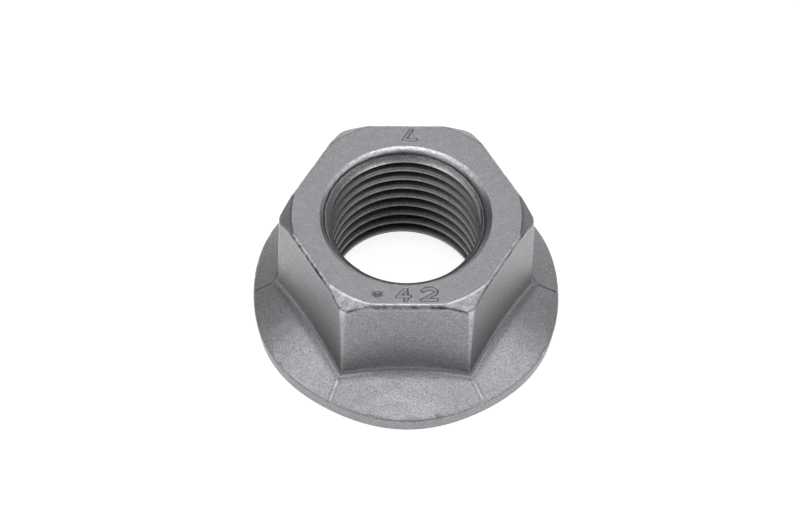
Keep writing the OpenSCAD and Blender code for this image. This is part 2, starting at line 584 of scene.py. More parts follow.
    def lip_shading(self, angle: np.ndarray, radius: np.ndarray, line: np.ndarray,
                 uneven: np.ndarray) -> tuple[np.ndarray, np.ndarray]:
        """Painted highlight band on the lip's far side, and painted shade at each side and in the far groove.

        Args:
            angle: Angle of each column.
            radius: Radius of each point.
            line: Radius of the fine step in each column.
            uneven: The lip's unevenness at each point.

        Returns:
            The painted highlight and painted shade of each point.
        """
        mouth = self.mouth_r
        # Painted highlight band round the far side
        band = step(np.sin(angle), 0.22, 0.42) * step(radius, line + 0.12, mouth - 0.08)
        sheen_and_wear = self.lip_bright * band * np.clip(0.85 + 0.3 * uneven, 0.4, 1)
        # Painted shade at the lip's two sides
        sides = sum(side_shade.round_axis(angle) for side_shade in self.side_shades)
        outer = step(radius, line, line + 0.2) * lift(0.7, step(radius, mouth - 0.4, mouth - 0.2))
        shaded_sides = sides * outer * (1 - step(radius, mouth - 0.1, mouth))
        # Painted shade in the fine step on the far side
        inwards = line - radius
        groove = step(inwards, -0.07, 0.0) * (0.95 - 0.5 * step(inwards, 0.06, 0.2))
        return sheen_and_wear, np.maximum(shaded_sides, self.far(angle) * groove)

    def step_strength(self, angle: np.ndarray) -> np.ndarray:
        """How deep the fine step is cut: in full, but for the stretch between fading out and coming back."""
        turn = np.degrees(angle)
        return 1 - step(turn, *self.step_out) + step(turn, *self.step_back)


class Mark(Enum):
    """Plain marks struck into the top face."""

    DOT = "dot"
    FOUR = "4"
    TWO = "2"
    SEVEN = "7"


@dataclass(frozen=True)
class Stamp:
    """One mark: its place on the top face, its height and the width of its stroke, in millimetres."""

    mark: Mark
    x: float
    y: float
    tall: float
    wide: float
    stroke: float
    turned: bool = False
    # Bow of the figure 2: its height as a share of the figure's, and its first and last angle
    bow: float = 0.29
    bow_turn: tuple[float, float] = (165.0, -38.0)
    bow_points: int = 8

    def path(self) -> np.ndarray:
        """Corners of the mark's line, in its own frame, where x and y run from -0.5 to 0.5."""
        bend = np.radians(np.linspace(*self.bow_turn, self.bow_points))
        bow = np.stack([0.5 * np.cos(bend), 0.5 - self.bow + self.bow * np.sin(bend)], -1)
        corners = {
            Mark.DOT: [(0, 0), (0, 0)],
            Mark.FOUR: [(0.2, -0.5), (0.2, 0.5), (-0.5, -0.15), (0.5, -0.15)],
            Mark.TWO: [*bow, (-0.5, -0.5), (0.5, -0.5)],
            Mark.SEVEN: [(-0.5, 0.5), (0.5, 0.5), (-0.15, -0.5)],
        }
        return np.array(corners[self.mark], float)

    def distance(self, x: np.ndarray, y: np.ndarray) -> np.ndarray:
        """Distance from the mark's edge, negative inside: distance to the nearest stroke less half its width.

        Args:
            x: Places across the top face.
            y: Places along it.

        Returns:
            The distance at each place.
        """
        sense = -1.0 if self.turned else 1.0
        here = np.stack([(x - self.x) * sense, (y - self.y) * sense], -1)
        path = self.path() * np.array([self.wide - self.stroke, self.tall - self.stroke])
        least = np.full(x.shape, np.inf)
        for a, b in zip(path[:-1], path[1:]):
            along = b - a
            length = max(float(along @ along), 1e-9)
            t = np.clip(((here - a) @ along) / length, 0, 1)
            least = np.minimum(least, np.linalg.norm(here - a - t[..., None] * along, axis=-1))
        return least - self.stroke / 2


@dataclass
class TopFace:
    """Flat ring between the mouth and the hexagon's upper edge, with its stamped marks."""

    height: float
    inner_r: float
    centre: tuple[float, float]
    marks: tuple[Stamp, ...] = (
        Stamp(Mark.FOUR, -0.35, -9.62, 1.75, 1.6, 0.42),
        Stamp(Mark.TWO, 2.15, -9.55, 1.75, 1.75, 0.42),
        Stamp(Mark.SEVEN, 0.35, 9.7, 1.55, 1.5, 0.4, turned=True),
    )
    # Mark of a pointed punch, and how many times as deep as the others it is
    dot: Stamp = Stamp(Mark.DOT, -2.9, -9.5, 1.15, 1.15, 1.15)
    dot_deeper: float = 1.6
    # Depth of the marks, the width of their walls, and how uneven the walls are
    depth: float = 0.1
    wall: float = 0.11
    rough: float = 0.03
    # By distance off the marks: the height of the burr beside them, how much paler it is painted, and the
    # walls' painted shade
    burr: Band = Band(0.02, 0.12, 0.1)
    burr_paler: Band = Band(0.25, 0.13, 0.06)
    wall_shade: Band = Band(0.62, -0.02, 0.075)
    dot_shade: float = 0.5
    # Rings, how far the last one lies within the upper edge, and shares between which relief is at its full
    rows: int = 34
    margin: float = 0.05
    full_from: float = 0.08
    full_to: float = 0.93
    # Angular windows that hold marks, in degrees: middle and half-width, and the spacing of columns
    windows: tuple[tuple[float, float], ...] = ((90.0, 10.0), (270.0, 27.0))
    fine: float = 0.42
    coarse: float = 1.5
    # How far round a window the spacing changes, and the step at which it is summed
    ease: float = 4.0
    tick: float = 0.05

    def angles(self) -> np.ndarray:
        """Rising angles of the columns, in radians: closely spaced where marks are, and wide elsewhere."""
        turn = np.arange(0, 360, self.tick)
        spacing = np.full(turn.shape, self.coarse)
        for middle, half in self.windows:
            inside = 1 - step(np.abs(turn - middle), half, half + self.ease)
            spacing = spacing * (1 - inside) + self.fine * inside
        total = np.concatenate([[0], np.cumsum(self.tick / spacing)])
        columns = int(round(total[-1]))
        return np.radians(np.interp(np.arange(columns) * total[-1] / columns, total, np.append(turn, 360)))

    def strip(self, edge_radius: Profile) -> Strip:
        """Rings across the face: radius goes evenly from the mouth to the upper edge.

        Args:
            edge_radius: Function from angles to the radius of the hexagon's upper edge.

        Returns:
            The strip.
        """
        angle = self.angles()
        share = np.linspace(0, 1, self.rows)[:, None]
        radius = self.inner_r + (edge_radius(angle) - self.margin - self.inner_r) * share
        centre = [middle * (1 - share) for middle in self.centre]
        places = Strip.of(angle, radius, 0.0, centre=centre).points()
        x, y = places[..., 0], places[..., 1]
        clear = np.min([mark.distance(x, y) for mark in self.marks], axis=0)
        off = clear + self.rough * ripple(places, 0.35, Grain.STAMP)
        inside = 1 - step(off, -self.wall, self.wall / 3)
        bowl = np.clip(-self.dot.distance(x, y) / (self.dot.stroke / 2), 0, 1)
        full = step(share, 0, self.full_from) * (1 - step(share, self.full_to, 1))
        z = self.height + (self.burr.on(clear) - self.depth * (inside + self.dot_deeper * bowl)) * full
        # Painted shade on the marks' walls and in the dot; the burr is painted paler
        hollow = self.wall_shade.on(off) * full + self.dot_shade * step(bowl, 0, 0.4)
        return Strip.of(angle, radius, z, self.burr_paler.on(off) * full, hollow, centre)


@dataclass
class Hexagon:
    """Six flats with a rounded upper edge, chamfered corners, blunted vertical edges and a hollow foot.

    Painted values run from 0 to 1. A flat's own angle, psi, is measured from its middle.
    """

    height: float
    across_flats: float = 22.0
    top_r: float = 0.38
    # Cone that chamfers the corners: its radius at the top face and its slope in degrees
    crown_r: float = 11.3
    crown_angle: float = 39.0
    # How far the vertical edges are blunted at the chamfer and at the foot, and how soon the first wears off
    blunt_top: float = 0.17
    blunt_foot: float = 0.04
    blunt_fade: float = 1.4
    foot_r: float = 0.85
    # Widths of the roundings where the flats meet the turned outline, and at the chamfer's foot
    edge_blend: float = 0.10
    chamfer_blend: float = 0.12
    # Columns per flat and per corner, and how much closer they lie towards a flat's ends
    flat_columns: int = 44
    corner_columns: int = 16
    crowding: float = 0.2
    # Half-width, in degrees, of the stretch of fine columns that runs from each corner to the rim
    seam_half: float = 0.9
    # Rings: angles over the rounded upper edge, their number beside the chamfer, drops below its foot, and
    # their number from there down
    arc_rows: tuple[float, ...] = (0, 9, 18, 29, 42, 56, 72, 90)
    crown_rows: int = 8
    bend_rows: tuple[float, ...] = (0.0, 0.12, 0.35)
    low_rows: int = 10
    # How deep the rounded upper edge is dented, what stays of it at the corners, and the flats' unevenness
    ragged: float = 0.035
    dent_least: float = 0.4
    flat_wave: float = 0.006
    # Painted highlight on the vertical edges: all along, and added to it near the chamfer's foot
    side_sheen: float = 0.3
    side_more: Band = Band(0.5, 0.0, 1.6)
    # Painted highlight on the chamfers: in patches and along their upper border, by depth. On the far side a
    # share of it is left, and the border gets painted shade instead
    patch_sheen: float = 0.42
    border_sheen: float = 0.8
    border: Band = Band(1.0, 0.03, 0.12)
    chamfer_far: float = 0.05
    chamfer_shade: float = 0.5
    # Painted highlight line over the rounded upper edge, by degrees over it
    sheen_and_wear: Band = Band(1.0, 42.0, 21.0)
    # Painted reflection lines under that edge, by depth: a dark one, how much lower it lies towards the
    # corners, and a light one
    dark: Band = Band(1.0, -0.05, 0.15)
    dark_lower: float = 0.13
    light: Band = Band(0.2, 0.45, 0.13)

    def __post_init__(self) -> None:
        """Works out the corners' sizes from the driving ones."""
        self.flat_r = self.across_flats / 2
        self.corner_r = self.flat_r / math.cos(math.pi / CORNERS)
        self.blunt_top_r = self.corner_r - self.blunt_top
        self.blunt_foot_r = self.corner_r - self.blunt_foot
        self.crown_slope = math.tan(math.radians(self.crown_angle))
        self.chamfer_z = self.height - (self.blunt_top_r - self.crown_r) * self.crown_slope

    def layout(self, corner_half: np.ndarray) -> tuple[np.ndarray, np.ndarray]:
        """Angles of the columns of each ring, starting at a corner.

        A ring has fine columns within `corner_half` of each corner, and between them columns along the flat,
        so that one column lies on each edge between a flat and a corner's facet.

        Args:
            corner_half: Half the angle that each corner's facet takes up, one value per ring.

        Returns:
            Angles round the axis, and angles from the middle of the nearest flat.
        """
        half = np.asarray(corner_half, float).reshape(-1, 1)
        side = self.corner_columns // 2
        in_corner = np.arange(side) / side * half
        s = np.linspace(-1, 1, self.flat_columns + 1)[None, :]
        s = s * (1 + self.crowding - self.crowding * s * s)
        on_flat = np.arctan(np.tan(np.pi / CORNERS - half) * s)
        ends = [in_corner - np.pi / CORNERS, np.pi / CORNERS - in_corner[:, :0:-1]]
        psi = np.concatenate([ends[0], on_flat, ends[1]], 1)
        sector = (2 * np.arange(CORNERS) + 1) * np.pi / CORNERS
        angle = (psi[:, None, :] + sector[None, :, None]).reshape(len(half), -1)
        return angle, np.tile(psi, (1, CORNERS))

    def outline(self, z: np.ndarray) -> np.ndarray:
        """Radius of the turned outline that cuts the corners: a cone above, then a slight widening below.

        Args:
            z: Heights.

        Returns:
            The outline's radius at each height.
        """
        cone = self.crown_r + (self.height - z) / self.crown_slope
        share = np.clip((self.chamfer_z - z) / self.chamfer_z, 0, 1)
        left = np.maximum(1 - self.blunt_fade * share, 0) ** 2
        blunt = self.blunt_foot_r + (self.blunt_top_r - self.blunt_foot_r) * left
        return smooth_min(cone, blunt, self.chamfer_blend)

    def edge_radius(self, angle: np.ndarray) -> np.ndarray:
        """Radius of the top face's border: a straight line along each flat, and a circle at the corners."""
        psi = (angle % (2 * np.pi / CORNERS)) - np.pi / CORNERS
        return smooth_min((self.flat_r - self.top_r) / np.cos(psi), self.crown_r, self.edge_blend)

    def wall(self, foot_z: Profile) -> Strip:
        """Rings from the top face's border down to the hollow foot.

        Radius is the lesser of the flat's, its distance over the cosine of the angle, and the outline's. Over
        the rounded upper edge, distance and height follow a quarter circle.

        Args:
            foot_z: Function from angles off a flat's middle to the height at which its hollow foot begins.

        Returns:
            The strip.
        """
        turn = np.radians(self.arc_rows)
        arc = self.height - self.top_r * (1 - np.cos(turn))
        crown = np.linspace(self.height - self.top_r, self.chamfer_z + 0.1, self.crown_rows + 1)[1:]
        fixed = np.concatenate([arc, crown, self.chamfer_z - np.array(self.bend_rows)])
        low = np.linspace(0, 1, self.low_rows + 1)[1:]
        levels = np.concatenate([fixed, fixed[-1] + (foot_z(np.array(0.0)) - fixed[-1]) * low])
        distance = np.full(len(levels), self.flat_r)
        distance[: len(turn)] = self.flat_r - self.top_r + self.top_r * np.sin(turn)
        facet = np.arccos(np.clip(distance / self.outline(levels), -1, 1))
        angle, psi = self.layout(np.pi / CORNERS - facet)
        z = np.repeat(levels[:, None], angle.shape[1], 1)
        z[len(fixed):] = fixed[-1] + (foot_z(psi[len(fixed):]) - fixed[-1]) * low[:, None]
        radius = smooth_min(distance[:, None] / np.cos(psi), self.outline(z), self.edge_blend)
        strip = Strip.of(angle, radius, z)
        places = strip.points()
        within = facet[:, None] - np.abs(psi)
        on_arc = np.zeros((len(levels), 1))
        on_arc[: len(turn), 0] = np.maximum(np.sin(2 * turn), 0)
        dent = ripple(places, 0.55, Grain.TOP_EDGE) + 0.7 * ripple(places, 2.2, Grain.BLUNTING)
        bite = np.maximum(on_arc * dent, -0.2) * lift(self.dent_least, step(within, -0.01, 0.02))
        wave = ripple(places, 3.2, Grain.FLATS) * step(self.height - z, 0.3, 1.5)
        strip.radius += self.flat_wave * wave - self.ragged * bite
        patchy = np.clip(0.5 + 0.5 * ripple(places, 0.7, Grain.BLUNTING), 0, 1)
        # Painted light and shade of the wall
        strip.edge[:], strip.hollow[:] = self.wall_shading(strip, psi, within, dent, patchy)
        return strip

    def wall_shading(self, strip: Strip, psi: np.ndarray, within: np.ndarray, dent: np.ndarray,
                  patchy: np.ndarray) -> tuple[np.ndarray, np.ndarray]:
        """Painted light and shade of the wall's edges and chamfers, and the lines under its upper edge.

        Args:
            strip: The wall's rings.
            psi: Angle of each point from its flat's middle.
            within: How far within its flat each point lies, as an angle, negative on a corner's facet.
            dent: How dented the surface is at each point.
            patchy: Patches of the chamfers' painted highlight, from 0 to 1.

        Returns:
            The painted highlight and painted shade of each point.
        """
        down = self.height - strip.height
        to_chamfer = self.chamfer_z - strip.height
        on_flat = step(within, -0.01, 0.02)
        corner = step(-within * self.flat_r, -0.08, 0.05)
        below = step(to_chamfer, -0.1, 0.15)
        # Painted highlight on the vertical edges and the near chamfers, and painted shade on the far
        # chamfers' border
        near = lift(self.chamfer_far, step(-np.sin(strip.angle), 0.1, 0.6))
        border = self.border.on(down)
        side = below * (self.side_sheen + self.side_more.on(to_chamfer))
        chamfer = np.maximum(self.patch_sheen * patchy, border * lift(self.border_sheen, patchy))
        edge = corner * np.maximum(side, (1 - below) * near * chamfer)
        # Painted highlight line over the rounded upper edge
        sheen_and_wear = self.sheen_and_wear.on(np.array(self.arc_rows))[:, None]
        arc = slice(len(sheen_and_wear))
        edge[arc] = np.maximum(edge[arc], sheen_and_wear * np.clip(1.0 + 0.25 * dent[arc], 0.3, 1) * on_flat[arc])
        # Painted reflection lines under the upper edge: a dark one, and a light one on the flat
        cone_drop = (self.flat_r / np.cos(psi) - self.crown_r) * self.crown_slope
        beneath = down - np.maximum(cone_drop, self.top_r)
        lower = self.dark_lower * step(cone_drop, self.top_r - 0.1, self.top_r + 0.2)
        dark = self.dark.on(beneath - lower) * on_flat * np.clip(0.78 + 0.40 * dent, 0.2, 1.2)
        hollow = np.maximum(dark, self.chamfer_shade * corner * (1 - below) * border * (1 - near))
        return np.maximum(edge, self.light.on(beneath) * on_flat), hollow


@dataclass
class Flange:
    """Sloping flange with its hollow run-out to the flats, die seams, leaning rim and rounded edges."""

    rim_r: float
    rim_h: float = 1.9
    # How far the rim's side leans in, and the upper face's slope in degrees
    draft: float = 0.25
    slope: float = 31.0
    top_r: float = 0.25
    foot_r: float = 0.3
    # Six shallow lobes in the rim's outline, widest at the flats' middles
    lobe: float = 0.1
    # Die seams, by distance across them: how far they stand up, and the painted shade on them and beside them
    seam: Band = Band(1.0, 0.0, 0.09)
    seam_rise: float = 0.03
    seam_shade: float = 0.8
    beside: Band = Band(0.25, 0.2, 0.06)
    # How far the forging die's halves stood apart: the rim's centre, off the hexagon's, along X and Y
    mismatch: tuple[float, float] = (0.14, -0.20)
    # How much further the forged rim stands out than its drawn size
    swell: float = 0.06
    # Width of the rounding that carries the blunted corners into the hollow foot
    foot_blend: float = 0.05
    # Rings over the hollow foot, and how far each has gone over to the seam's narrow columns
    foot_rows: tuple[float, ...] = (0.03, 0.09, 0.18, 0.31, 0.48, 0.70, 1.0)
    foot_spread: tuple[float, ...] = (0.0, 0.02, 0.09, 0.2, 0.42, 0.7, 1.0)
    # Rings down the slope, over the rim's upper edge and down its side, and where these end, as a share of
    # the rim's height
    slope_rows: int = 14
    edge_rows: tuple[float, ...] = (0.18, 0.4, 0.6, 0.8, 1.0)
    side_rows: tuple[float, ...] = (0.22, 0.42, 0.62, 0.8)
    side_end: float = 0.42
    # Shades of the hollow foot and of the slope's beginning, by share of the way over each
    foot_shades: tuple[Band, ...] = (Band(0.42, 0.0, 0.30), Band(0.44, 1.10, 0.30))
    groin: Band = Band(0.38, 0.04, 0.09)
    # Unevenness of the slope, depth of the nicks in the rim's upper edge, and how far each ring takes part
    wave: float = 0.010
    nick: float = 0.05
    nick_rows: tuple[float, ...] = (0.25, 0.7, 1.0, 0.7, 0.3, 0.1)
    # Wear of the rim's upper edge: all round, and added to it in the nicks
    rim_bright: float = 0.2
    nick_bright: float = 0.6

    def surface(self, r: np.ndarray) -> np.ndarray:
        """Height of the sloping face: the rim's height, plus distance in from the rim times the slope."""
        return self.rim_h + (self.rim_r - r) * math.tan(math.radians(self.slope))

    def rim_centre(self, share: np.ndarray) -> list[np.ndarray]:
        """Centre of a ring, in X and Y, at a share of the way from the hexagon's foot to the rim."""
        return [middle * share for middle in self.mismatch]

    def hollow_line(self, psi: np.ndarray, hexagon: Hexagon) -> tuple[np.ndarray, np.ndarray]:
        """Centre height of the hollow foot's rolling ball, and the slope it rolls on.

        The ball touches the flat and the slope. Off the flat's middle the slope falls by the angle's cosine.

        Args:
            psi: Angles from the middle of a flat.
            hexagon: The hexagon that the foot belongs to.

        Returns:
            The centre's height, and the slope's angle in radians.
        """
        steep = np.arctan(math.tan(math.radians(self.slope)) * np.cos(psi))
        out = (hexagon.flat_r + hexagon.foot_r) / np.cos(psi)
        return self.surface(out) + hexagon.foot_r / np.cos(steep), steep

    def foot_top(self, hexagon: Hexagon) -> Profile:
        """Function from an angle off a flat's middle to the height at which its hollow foot begins."""
        return lambda psi: self.hollow_line(psi, hexagon)[0]

    def rim_lobes(self, angle: np.ndarray) -> np.ndarray:
        """How far the rim stands out at each angle: the swell, and a cosine with six periods round it."""
        return self.swell + self.lobe * np.cos(CORNERS * (angle - np.pi / CORNERS))

    def upper(self, hexagon: Hexagon, wall: Strip) -> Strip:
        """Rings from the flats' hollow foot over the slope and the rim's edge to half-way down its side.

        In the foot, height is the ball's centre less the root of its radius squared less the square of the
        distance left. The fine columns at each corner narrow from the wall's to the seam's.

        Args:
            hexagon: The hexagon that the foot belongs to.
            wall: The hexagon's wall, whose last ring the strip goes on from.

        Returns:
            The strip.
        """
        ball = hexagon.foot_r
        share = np.array(self.foot_rows)[:, None]
        first = wall.angle[-1][hexagon.corner_columns // 2] - wall.angle[-1][0]
        corner_half = first + (math.radians(hexagon.seam_half) - first) * np.array(self.foot_spread)
        angle, psi = hexagon.layout(corner_half)
        centre, steep = self.hollow_line(psi, hexagon)
        off = share * ball * (1 - np.sin(steep))
        blunted = hexagon.blunt_foot_r + off / math.cos(math.pi / CORNERS)
        radius = smooth_min((hexagon.flat_r + off) / np.cos(psi), blunted, self.foot_blend)
        z = centre - np.sqrt(ball ** 2 - (ball - off) ** 2)
        shade = sum(band.on(share) for band in self.foot_shades)
        foot = Strip.of(angle, radius, z, 0.0, shade)
        return foot.then(self.slope_and_rim(hexagon, radius[-1], corner_half[-1]))

    def slope_and_rim(self, hexagon: Hexagon, inner: np.ndarray, corner_half: float) -> Strip:
        """Rings down the slope, over the rim's upper edge and half-way down its side.

        Radius goes evenly from the foot's to the rim's, and height is the cone's. Die seams add a narrow
        ridge at each corner, and nicks lie along the rim's edge.

        Args:
            hexagon: The hexagon that the flange belongs to.
            inner: Radius at which each column starts.
            corner_half: Half-angle of the fine columns at each corner.

        Returns:
            The strip.
        """
        rows = np.linspace(0, 1, self.slope_rows + 1)[1:, None]
        n, beyond = len(rows), len(self.edge_rows) + len(self.side_rows)
        angle, psi = hexagon.layout(np.full(n + beyond, corner_half))
        lobes = self.rim_lobes(angle)
        brink = self.rim_r + lobes[:n] - self.top_r * math.tan(math.radians((90 - self.slope) / 2))
        slope_r = inner + (brink - inner) * rows
        side_r, side_z = self.rim_edge(lobes[n:])
        radius = np.concatenate([slope_r, side_r])
        z = np.concatenate([self.surface(slope_r - lobes[:n] * rows ** 2), side_z])
        centre = self.rim_centre(np.concatenate([rows, np.ones((beyond, 1))]))
        strip = Strip.of(angle, radius, z, centre=centre)
        places = strip.points()
        across = (np.pi / CORNERS - np.abs(psi)) * strip.radius
        seam = self.seam.on(across)
        past_rim = np.zeros((beyond, 1))
        on_slope = np.concatenate([step(rows, 0, 0.12) * (1 - step(rows, 0.93, 1)), past_rim])
        on_edge = np.zeros((n + beyond, 1))
        on_edge[n - 1: n - 1 + len(self.nick_rows), 0] = self.nick_rows
        nick = np.clip(ripple(places, 0.7, Grain.RIM) - 0.5, 0, 1.5)
        strip.height += (self.seam_rise * seam + self.wave * ripple(places, 1.6, Grain.FLANGE)) * on_slope
        strip.radius -= self.nick * nick * on_edge
        # Painted light and shade at the seams: shade on them at the sides, and at front and back shade beside
        # them and a highlight on them
        fore_and_aft = step(np.abs(np.sin(angle)), 0.2, 0.7)
        seam_shading = self.seam_shade * seam * (1 - fore_and_aft) + self.beside.on(np.abs(across)) * fore_and_aft
        groin = np.concatenate([self.groin.on(rows), past_rim])
        strip.hollow[:] = np.maximum(on_slope * seam_shading, groin)
        patchy_sheen = np.clip(0.55 + 0.25 * ripple(places, 0.8, Grain.RIM), 0.1, 1)
        rim = on_edge * (self.rim_bright + self.nick_bright * np.clip(nick, 0, 1))
        strip.edge[:] = np.maximum(patchy_sheen * seam * on_slope * fore_and_aft, rim)
        return strip

    def rim_edge(self, lobes: np.ndarray) -> tuple[np.ndarray, np.ndarray]:
        """Arc over the rim's upper edge and the side below it, ending half-way down.

        Args:
            lobes: How far the rim stands out, one row per ring.

        Returns:
            Radius and height of each ring.
        """
        lean = math.atan(self.draft / self.rim_h)
        start = math.radians(90 - self.slope)
        turn = start - (start + lean) * np.array(self.edge_rows)
        back = self.top_r / math.cos((start + lean) / 2)
        arc_r = self.rim_r - back * math.cos((start - lean) / 2) + self.top_r * np.cos(turn)
        arc_z = self.rim_h - back * math.sin((start - lean) / 2) + self.top_r * np.sin(turn)
        down = np.array(self.side_rows) / self.side_rows[-1]
        side_z = arc_z[-1] + (self.rim_h * self.side_end - arc_z[-1]) * down
        side_r = arc_r[-1] - (arc_z[-1] - side_z) * math.tan(lean)
        radius = np.concatenate([arc_r, side_r])[:, None] + lobes
        return radius, np.repeat(np.concatenate([arc_z, side_z])[:, None], lobes.shape[1], 1)


@dataclass
class BearingFace:
    """Underside: the rim's rounded foot, ratchet teeth between two plain rings, and the lead's border."""

    flange: Flange
    lead_r: float
    # Ring of teeth: their number, their depth at the outer end, and where they begin and end
    teeth: int = 30
    depth: float = 0.4
    inner_r: float = 10.2
    outer_r: float = 14.5
    # Share of each tooth that is left as a flat land, and the angle of its steep side
    land: float = 0.3
    steep: float = 0.8
    # Columns on each tooth's ramp and on its land, and rings along the teeth
    tooth_columns: int = 6
    tooth_rows: int = 5
    # Rings over the rim's lower edge, and the share of the rim's height at which they start
    foot_rows: int = 7
    start: float = 0.30
    # How far from the teeth's ends the plain rings begin, and how dark the valleys are
    clear: float = 0.012
    shade: float = 0.5

    def angles(self) -> np.ndarray:
        """Rising angles of the columns: eleven per tooth, with one at each of a valley's three lines."""
        pitch = 360 / self.teeth
        ramp_end = pitch * (1 - self.land)
        ramp = np.linspace(self.steep, ramp_end, self.tooth_columns)
        land = np.linspace(ramp_end, pitch, self.tooth_columns)[1:]
        one = np.concatenate([[0.0], ramp, land[:-1]])
        return np.radians((np.arange(self.teeth)[:, None] * pitch + one).ravel())

    def valley(self, angle: np.ndarray, radius: np.ndarray) -> np.ndarray:
        """Depth of the valleys: a steep side and then a ramp in each tooth's turn, growing with the radius.

        Args:
            angle: Angles round the axis.
            radius: Distances from the axis.

        Returns:
            Height of the cut above the bearing face.
        """
        pitch = 360 / self.teeth
        turn = np.degrees(angle) % pitch
        turn = np.where(turn > pitch - 1e-4, 0.0, turn)
        ramp_end = pitch * (1 - self.land)
        form = np.interp(turn, [0, self.steep, ramp_end, pitch], [0, 1, 0, 0])
        return self.depth * radius / self.outer_r * form

    def strip(self) -> Strip:
        """Rings from the lower half of the rim's side to the lead countersink's border.

        Returns:
            The strip.
        """
        flange, angle = self.flange, self.angles()
        lean = math.atan(flange.draft / flange.rim_h)
        down = math.pi / 2
        turn = -lean + (lean - down) * np.linspace(0, 1, self.foot_rows)
        back = flange.foot_r / math.cos((down - lean) / 2)
        centre_r = flange.rim_r - flange.draft - back * math.cos((down + lean) / 2)
        arc_r = centre_r + flange.foot_r * np.cos(turn)
        arc_z = flange.foot_r * (np.sin(turn) - np.sin(turn[-1]))
        start_z = flange.rim_h * self.start
        start_r = arc_r[0] + (start_z - arc_z[0]) * math.tan(lean)
        rim_r = np.concatenate([[start_r], arc_r])[:, None] + flange.rim_lobes(angle)
        rim_z = np.concatenate([[start_z], arc_z])[:, None]
        ridged = np.linspace(self.outer_r, self.inner_r, self.tooth_rows)
        inner = [self.inner_r - self.clear, (self.inner_r + self.lead_r) / 2, self.lead_r]
        flat_r = np.concatenate([[self.outer_r + self.clear], ridged, inner])[:, None] * np.ones_like(angle)
        toothed = np.concatenate([[0], np.ones(len(ridged)), np.zeros(len(inner))])[:, None]
        radius = np.concatenate([rim_r, flat_r])
        z = np.concatenate([np.broadcast_to(rim_z, rim_r.shape), toothed * self.valley(angle, flat_r)])
        on_rim = np.concatenate([np.ones(len(rim_r)), np.zeros(len(flat_r))])[:, None]
        sunk = self.shade * np.clip(z * (radius < self.outer_r + 0.01), 0, 1)
        return Strip.of(angle, radius, z, 0.0, sunk, flange.rim_centre(on_rim))


class Shader:
    """Short way to add nodes to one material or world."""

    def __init__(self, tree: bpy.types.NodeTree) -> None:
        """Starts with an empty tree."""
        self.tree = tree
        tree.nodes.clear()

    def node(self, kind: str, settings: dict[str, object] | None = None, **inputs: Input) -> bpy.types.Node:
        """Adds a node.

        Args:
            kind: The node's type name.
            settings: Properties of the node.
            **inputs: Input sockets by name, with underscores for spaces, each a value or an output to link.

        Returns:
            The node.
        """
        made = self.tree.nodes.new(kind)
        for name, value in (settings or {}).items():
            setattr(made, name, value)
        for name, value in inputs.items():
            self.put(made.inputs[name.replace("_", " ")], value)
        return made

    def put(self, socket: bpy.types.NodeSocket, value: Input) -> None:
        """Sets a socket's value, or links an output to it."""
        if isinstance(value, bpy.types.NodeSocket):
            self.tree.links.new(value, socket)
        else:
            socket.default_value = value

    def maths(self, operation: str, *values: Input, clamp: bool = False) -> bpy.types.NodeSocket:
        """Result of one arithmetic node on numbers or outputs."""
        made = self.node("ShaderNodeMath", {"operation": operation, "use_clamp": clamp})
        for socket, value in zip(made.inputs, values):
            self.put(socket, value)
        return made.outputs[0]

    def ramp(self, value: Input, source: Span, target: Span) -> bpy.types.NodeSocket:
        """Value mapped from one range to another, held at its ends."""
        limits = {"From Min": source[0], "From Max": source[1], "To Min": target[0], "To Max": target[1]}
        made = self.node("ShaderNodeMapRange", {"clamp": True}, Value=value)
        for name, number in limits.items():
            made.inputs[name].default_value = number
        return made.outputs[0]

    def blend(self, share: Input, first: Input, second: Input) -> bpy.types.NodeSocket:
        """Mix of two colours by a share."""
        made = self.node("ShaderNodeMix", {"data_type": "RGBA"})
        for place, value in ((0, share), (6, first), (7, second)):
            self.put(made.inputs[place], value)
        return made.outputs[2]

    def noise(self, place: Input, size: float, detail: float, rough: float) -> bpy.types.NodeSocket:
        """Noise between 0 and 1 whose blotches are about `size` millimetres."""
        return self.node("ShaderNodeTexNoise", None, Vector=place, Scale=1 / (size * MM), Detail=detail,
                         Roughness=rough).outputs[0]


